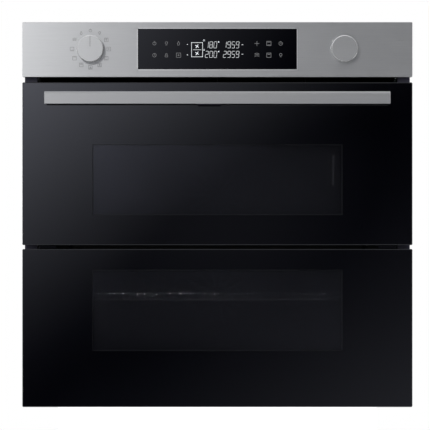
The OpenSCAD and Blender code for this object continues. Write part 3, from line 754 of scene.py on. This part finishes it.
def make_screws():
    """The body's screws: down the edges of the rear panel and along the top of each side."""
    heads = bmesh.new()
    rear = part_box("rear_panel")
    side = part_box("side_panel_right")[1].x
    plate_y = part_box("side_panel_right")[1].y + 1 * MM
    inset = 12 * MM
    rear_heights = (0.04, 0.21, 0.38, 0.56)
    for x in (rear[0].x + inset, rear[1].x - inset):
        for z in rear_heights:
            screw_head(heads, (x, plate_y, z), (0, 1, 0), 4 * MM, 2 * MM)
    side_depths, side_height = (0.04, 0.265, 0.49), 0.56
    for sign in (-1, 1):
        for y in side_depths:
            place = (sign * side, FLANGE_Y + y, side_height)
            screw_head(heads, place, (sign, 0, 0), 3.5 * MM, 1.2 * MM)
    screws = piece("body_screw_heads", heads, "chassis", [CHROME, BLACK_PAINT])
    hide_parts("body_screws")


make_screws()


# ---- Pressed and moulded details ----

def pressed_rib(shape, start, end, out, width=9 * MM, height=1.4 * MM):
    """Long raised rib with sloped flanks and ends, as pressed into sheet metal."""
    start, end, out = Vector(start), Vector(end), Vector(out)
    along = (end - start).normalized()
    across = along.cross(out)
    rings = []
    profile = ((-0.5, 0.0), (-0.42, 0.35), (-0.26, 1.0), (0.26, 1.0), (0.42, 0.35), (0.5, 0.0))
    ramp = along * 3 * height
    for point, lift in ((start, 0.0), (start + ramp, 1.0), (end - ramp, 1.0), (end, 0.0)):
        narrow = 1.0 if lift else 0.5
        rings.append([
            shape.verts.new(point + across * width * w * narrow + out * (height * h * lift - 0.1 * MM))
            for w, h in profile
        ])
    for a, b in zip(rings, rings[1:]):
        for i in range(len(a) - 1):
            shape.faces.new((a[i], a[i + 1], b[i + 1], b[i]))
        shape.faces.new((a[-1], a[0], b[0], b[-1]))
    shape.faces.new(rings[0])
    shape.faces.new(rings[-1][::-1])


def make_body_details():
    """Pressed ribs and folded hems of the body, and the flange and screws of the motors' rear cover."""
    low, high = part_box("side_panel_right")
    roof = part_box("top_cover")
    plate = high.y + 1 * MM
    side_ribs, side_margin = (0.1, 0.2, 0.3, 0.4), 0.05
    roof_ribs, roof_margin = (-0.03, 0.03), 0.06
    rear_ribs, rear_bottom, rear_top = (-0.235, -0.17, 0.17, 0.235), 0.05, 0.43
    ribs = bmesh.new()
    for sign in (-1, 1):
        side = sign * high.x
        for z in side_ribs:
            pressed_rib(ribs, (side, low.y + side_margin, z), (side, high.y - side_margin, z), (sign, 0, 0))
    for x in roof_ribs:
        start, end = roof[0].y + roof_margin, roof[1].y - roof_margin
        pressed_rib(ribs, (x, start, roof[1].z), (x, end, roof[1].z), (0, 0, 1))
    for x in rear_ribs:
        pressed_rib(ribs, (x, plate, rear_bottom), (x, plate, rear_top), (0, 1, 0))
    piece("body_pressed_ribs", ribs, "chassis", ZINC)

    hems = bmesh.new()
    for sign in (-1, 1):
        x0, x1 = sorted((sign * high.x, sign * high.x + sign * 0.6 * MM))
        rear = high.y - 1 * MM
        block(hems, (x0, low.y + 0.03, high.z - 9 * MM), (x1, rear, high.z - 0.3 * MM))
        block(hems, (x0, high.y - 14 * MM, low.z + 1 * MM), (x1, rear, high.z - 9.5 * MM))
    piece("side_panel_hems", hems, "chassis", ZINC)

    cover = bmesh.new()
    half, bottom, top = 0.09, 0.112, 0.392
    rim, thick = 9 * MM, 0.9 * MM
    for x0, z0, x1, z1 in (
        (-half - rim, bottom - rim, half + rim, bottom),
        (-half - rim, top, half + rim, top + rim),
        (-half - rim, bottom, -half, top),
        (half, bottom, half + rim, top),
    ):
        block(cover, (x0, plate - 0.1 * MM, z0), (x1, plate + thick, z1))
    piece("motor_cover_flange", cover, "chassis", ZINC)
    screws = bmesh.new()
    for x in (-half - rim / 2, half + rim / 2):
        for z in (bottom + 20 * MM, (bottom + top) / 2, top - 20 * MM):
            screw_head(screws, (x, plate + thick, z), (0, 1, 0), 3 * MM, 1.4 * MM)
    for x in (-0.2, 0.0, 0.2):
        screw_head(screws, (x, roof[0].y + 12 * MM, roof[1].z), (0, 0, 1), 3.2 * MM, 1.3 * MM)
    piece("cover_screws", screws, "chassis", [CHROME, BLACK_PAINT])


def make_terminals():
    """Five terminal screws in a row, and three grip ribs on the block's lid."""
    low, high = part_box("terminal_block")
    screws = bmesh.new()
    middle = (low.x + high.x) / 2
    pitch = 14 * MM
    for i in range(-2, 3):
        place = (middle + pitch * i, high.y - 6 * MM, high.z - 18 * MM)
        screw_head(screws, place, (0, 1, 0), 3.1 * MM, 2.2 * MM)
    piece("terminal_screws", screws, "chassis", [CHROME, BLACK_PAINT])
    lid = bmesh.new()
    for z in (low.z + 6 * MM, low.z + 12 * MM, low.z + 18 * MM):
        near = (low.x + 8 * MM, high.y - 0.5 * MM, z)
        block(lid, near, (high.x - 8 * MM, high.y - 0.01 * MM, z + 1.6 * MM))
    piece("terminal_lid_grips", lid, "chassis", WHITE_PLASTIC)


def make_cavity_details():
    """Screws of the fan cover, a rim round each lamp's lens, and a glowing strip down the upper lens, a
    painted highlight of its glass.
    """
    low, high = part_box("fan_cover")
    screws = bmesh.new()
    for x in (low.x + 14 * MM, high.x - 14 * MM):
        for z in (low.z + 14 * MM, (low.z + high.z) / 2, high.z - 14 * MM):
            screw_head(screws, (x, low.y, z), FRONT, 3.4 * MM, 1.5 * MM)
    piece("fan_cover_screws", screws, "chassis", [CHROME, BLACK_PAINT])
    rims = bmesh.new()
    low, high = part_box("lamp_lenses")
    face = low.y
    lens_x, lens_z = 11 * MM, 28 * MM
    upper, lower = (high.x - lens_x, high.z - lens_z), (low.x + lens_x, low.z + lens_z)
    half_x, half_z = lens_x + 1.6 * MM, lens_z + 1.6 * MM
    for x, z in (upper, lower):
        x0, x1, z0, z1 = x - half_x, x + half_x, z - half_z, z + half_z
        depth = (face + 1 * MM, face + 4 * MM)
        closed_line(rims, [(x0, z0), (x1, z0), (x1, z1), (x0, z1)], 2.4 * MM, depth)
    piece("lamp_lens_rims", rims, "chassis", CHROME)
    # Glowing strip down the middle of the upper lens: a painted highlight of the lens glass.
    highlight_strip = bmesh.new()
    x, z = upper
    stroke(highlight_strip, (x, z - 0.024), (x, z + 0.024), 2.2 * MM, (face - 0.8 * MM, face + 1 * MM))
    piece("upper_lamp_ridge", highlight_strip, "chassis", LAMP_PAINTED_HIGHLIGHT)


def make_door_details():
    """Clips that hold the inner panes, and screws through the doors' steel boxes."""
    for door in ("upper", "lower"):
        low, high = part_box(f"{door}_inner_glass")
        clips = bmesh.new()
        half_x, half_z = 12 * MM, 3.5 * MM
        for sign in (-1, 1):
            x = sign * (high.x - 14 * MM)
            for z in (low.z + 5 * MM, high.z - 5 * MM):
                back = high.y + 1.4 * MM
                block(clips, (x - half_x, high.y - 0.05 * MM, z - half_z), (x + half_x, back, z + half_z))
        clip = piece(f"{door}_glass_clips", clips, f"{door}_door_body", BLACK_PLASTIC)
        soften = clip.modifiers.new("soft_edges", "BEVEL")
        soften.width = 0.5 * MM
        soften.segments = 2
        frame_low, frame_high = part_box(f"{door}_door_frame")
        screws = bmesh.new()
        hinge_x, margin = 0.2615, 0.06
        for sign in (-1, 1):
            for z in (frame_low.z + margin, frame_high.z - margin):
                screw_head(screws, (sign * hinge_x, frame_high.y, z), (0, 1, 0), 2.6 * MM, 1.2 * MM)
        piece(f"{door}_door_screws", screws, f"{door}_door_body", [CHROME, BLACK_PAINT])


make_body_details()
make_terminals()
make_cavity_details()
make_door_details()


# ---- Studio ----

def make_studio():
    """Pale round floor, and a white plinth that leaves room for the handle of the lowered door."""
    floor_z = -0.3
    floor = bmesh.new()
    place = Matrix.Translation((0, 0, floor_z))
    bmesh.ops.create_circle(floor, cap_ends=True, segments=128, radius=3.4, matrix=place)
    pale = Paint("studio_floor", (0.82, 0.82, 0.82), 0.7)
    pale.worn((0.82, 0.82, 0.82), 0.02, 4)
    piece("floor", floor, None, pale.material)
    plinth = bmesh.new()
    low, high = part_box("base_skids")
    block(plinth, (low.x - 0.02, low.y - 0.01, floor_z), (high.x + 0.02, high.y + 0.01, 0.0))
    stand = Paint("studio_plinth", (0.9, 0.9, 0.9), 0.8)
    stand.worn((0.9, 0.9, 0.9), 0.02, 4)
    stand.set("Emission Color", (1, 1, 1, 1))
    stand.set("Emission Strength", 0.85)
    piece("plinth", plinth, None, stand.material)


def area_light(name, place, target, size, power):
    data = bpy.data.lights.new(name, "AREA")
    data.shape = "RECTANGLE"
    data.size, data.size_y = size
    data.energy = power
    light = bpy.data.objects.new(name, data)
    light.location = place
    light.rotation_euler = (Vector(target) - Vector(place)).to_track_quat("-Z", "Y").to_euler()
    bpy.context.scene.collection.objects.link(light)
    return light


def rack_light(name, place, target, size, power, spread):
    """A thin light inside the cavity, spread over so many degrees, that falls on the wire rack alone."""
    light = area_light(name, place, target, size, power)
    light.data.spread = math.radians(spread)
    group = bpy.data.collections.new(f"{name}_receivers")
    group.objects.link(nodes["wire_rack"])
    light.light_linking.receiver_collection = group


def make_world():
    """White backdrop for the camera; for light and reflections, a soft studio brighter on the left."""
    # Camera distance over the front's half width, and one over the glass's reflectance
    mirror_scale = 18.5
    mirror_gain = 13.5
    world = bpy.data.worlds.new("studio")
    bpy.context.scene.world = world
    world.use_nodes = True
    tree = world.node_tree
    tree.nodes.clear()

    def add(kind, **settings):
        node = tree.nodes.new(kind)
        for key, value in settings.items():
            setattr(node, key, value)
        return node

    def calc(operation, a, b=0.0, c=0.0):
        node = add("ShaderNodeMath", operation=operation)
        for socket, value in zip(node.inputs, (a, b, c)):
            if isinstance(value, (int, float)):
                socket.default_value = value
            else:
                tree.links.new(value, socket)
        return node.outputs[0]

    def ease(value, low, high, start, end):
        node = add("ShaderNodeMapRange", interpolation_type="SMOOTHSTEP")
        for socket, v in zip(node.inputs, (value, low, high, start, end)):
            if isinstance(v, (int, float)):
                socket.default_value = v
            else:
                tree.links.new(v, socket)
        return node.outputs[0]

    split = add("ShaderNodeSeparateXYZ")
    tree.links.new(add("ShaderNodeTexCoord").outputs["Generated"], split.inputs[0])
    x, y, z = split.outputs
    ahead = calc("MAXIMUM", calc("MULTIPLY", y, -1.0), 0.05)
    across = calc("DIVIDE", x, ahead)
    up = calc("DIVIDE", z, ahead)
    room = calc("ADD", ease(z, -0.6, 0.9, 0.25, 0.5), ease(x, -0.9, 0.3, 0.25, 0.0))
    # In front: a softbox up on the left and a dim wall that falls off to the right
    left = calc("ADD", across, 0.2)
    above = calc("SUBTRACT", up, 0.2)
    away = calc("SQRT", calc("ADD", calc("MULTIPLY", left, left), calc("MULTIPLY", above, above)))
    softbox = calc("ADD", ease(away, 0.08, 0.26, 0.6, 0.0), ease(across, -0.3, 0.3, 0.3, 0.05))
    # Right behind the camera: what the glass doors mirror, bright at the upper left, faint at the lower right
    u = calc("MULTIPLY", across, mirror_scale)
    v = calc("MULTIPLY", up, mirror_scale)
    falling = calc("SUBTRACT", calc("MULTIPLY", v, 0.6), calc("MULTIPLY", u, 0.49))
    first = calc("MULTIPLY", calc("MAXIMUM", calc("ADD", falling, 0.13), 0.0), 0.295)
    rising = calc("SUBTRACT", calc("MULTIPLY", u, 0.45), calc("MULTIPLY", v, 0.69))
    second = calc("MULTIPLY", calc("MAXIMUM", calc("SUBTRACT", rising, 0.1), 0.0), 0.12)
    spread = calc("ADD", calc("MULTIPLY", u, u), calc("MULTIPLY", v, v))
    middle = calc("MULTIPLY", calc("MAXIMUM", calc("SUBTRACT", 1.0, spread), 0.0), 0.068)
    tone = calc("POWER", calc("ADD", calc("MAXIMUM", calc("ADD", first, second), middle), 0.02), 2.2)
    mirrored = calc("MULTIPLY", tone, mirror_gain)
    close = ease(calc("MAXIMUM", calc("ABSOLUTE", across), calc("ABSOLUTE", up)), 0.06, 0.11, 1.0, 0.0)
    wide = calc("MULTIPLY", softbox, calc("SUBTRACT", 1.0, close))
    front = calc("ADD", calc("MULTIPLY", mirrored, close), wide)
    facing = ease(y, -0.96, -0.82, 1.0, 0.0)
    behind = calc("MULTIPLY", room, calc("SUBTRACT", 1.0, facing))
    light = calc("ADD", calc("MULTIPLY", front, facing), behind)
    studio = add("ShaderNodeBackground")
    tree.links.new(light, studio.inputs["Strength"])
    tint = add("ShaderNodeMix", data_type="RGBA")
    tree.links.new(calc("MULTIPLY", close, facing), tint.inputs[0])
    tint.inputs[6].default_value = (0.985, 0.99, 1.0, 1)
    tint.inputs[7].default_value = (0.93, 0.96, 1.12, 1)
    tree.links.new(tint.outputs[2], studio.inputs["Color"])
    white = add("ShaderNodeBackground")
    white.inputs["Strength"].default_value = 1.0
    white.inputs["Color"].default_value = (1, 1, 1, 1)
    mixer = add("ShaderNodeMixShader")
    tree.links.new(add("ShaderNodeLightPath").outputs["Is Camera Ray"], mixer.inputs[0])
    tree.links.new(studio.outputs[0], mixer.inputs[1])
    tree.links.new(white.outputs[0], mixer.inputs[2])
    tree.links.new(mixer.outputs[0], add("ShaderNodeOutputWorld").inputs[0])


def make_camera():
    """Long lens, straight at the front, a little left of its middle."""
    distance = 5.5
    view_width = 0.6557
    eye_x, eye_z = -0.0036, 0.3009
    data = bpy.data.cameras.new("camera")
    data.sensor_width = 36
    data.lens = data.sensor_width * distance / view_width
    data.clip_end = 50
    camera = bpy.data.objects.new("camera", data)
    camera.location = (eye_x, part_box("upper_outer_glass")[0].y - distance, eye_z)
    camera.rotation_euler = (math.pi / 2, 0, 0)
    bpy.context.scene.collection.objects.link(camera)
    bpy.context.scene.camera = camera


make_studio()
make_world()
make_camera()
rack_light("rack_rear_light", (0, 0.12, 0.222), (0, 0.165, 0.17), (0.45, 0.004), 0.03, 60)
rack_light("rack_front_light", (0, -0.215, 0.173), (0, -0.195, 0.171), (0.44, 0.004), 0.005, 180)
area_light("key", (-0.95, -4.3, 1.42), (0, -0.2, 0.4), (0.35, 0.35), 13)
area_light("top", (0.2, 0.2, 3.0), (0, 0, 0.3), (2.4, 2.4), 5)
area_light("rear_left", (-2.2, 2.8, 0.7), (0, 0, 0.3), (1.6, 1.0), 24)
area_light("rear_right", (2.8, 1.8, 0.7), (0, 0, 0.3), (1.6, 1.0), 12)

settings = bpy.context.scene.view_settings
settings.view_transform = "Standard"
settings.look = "None"
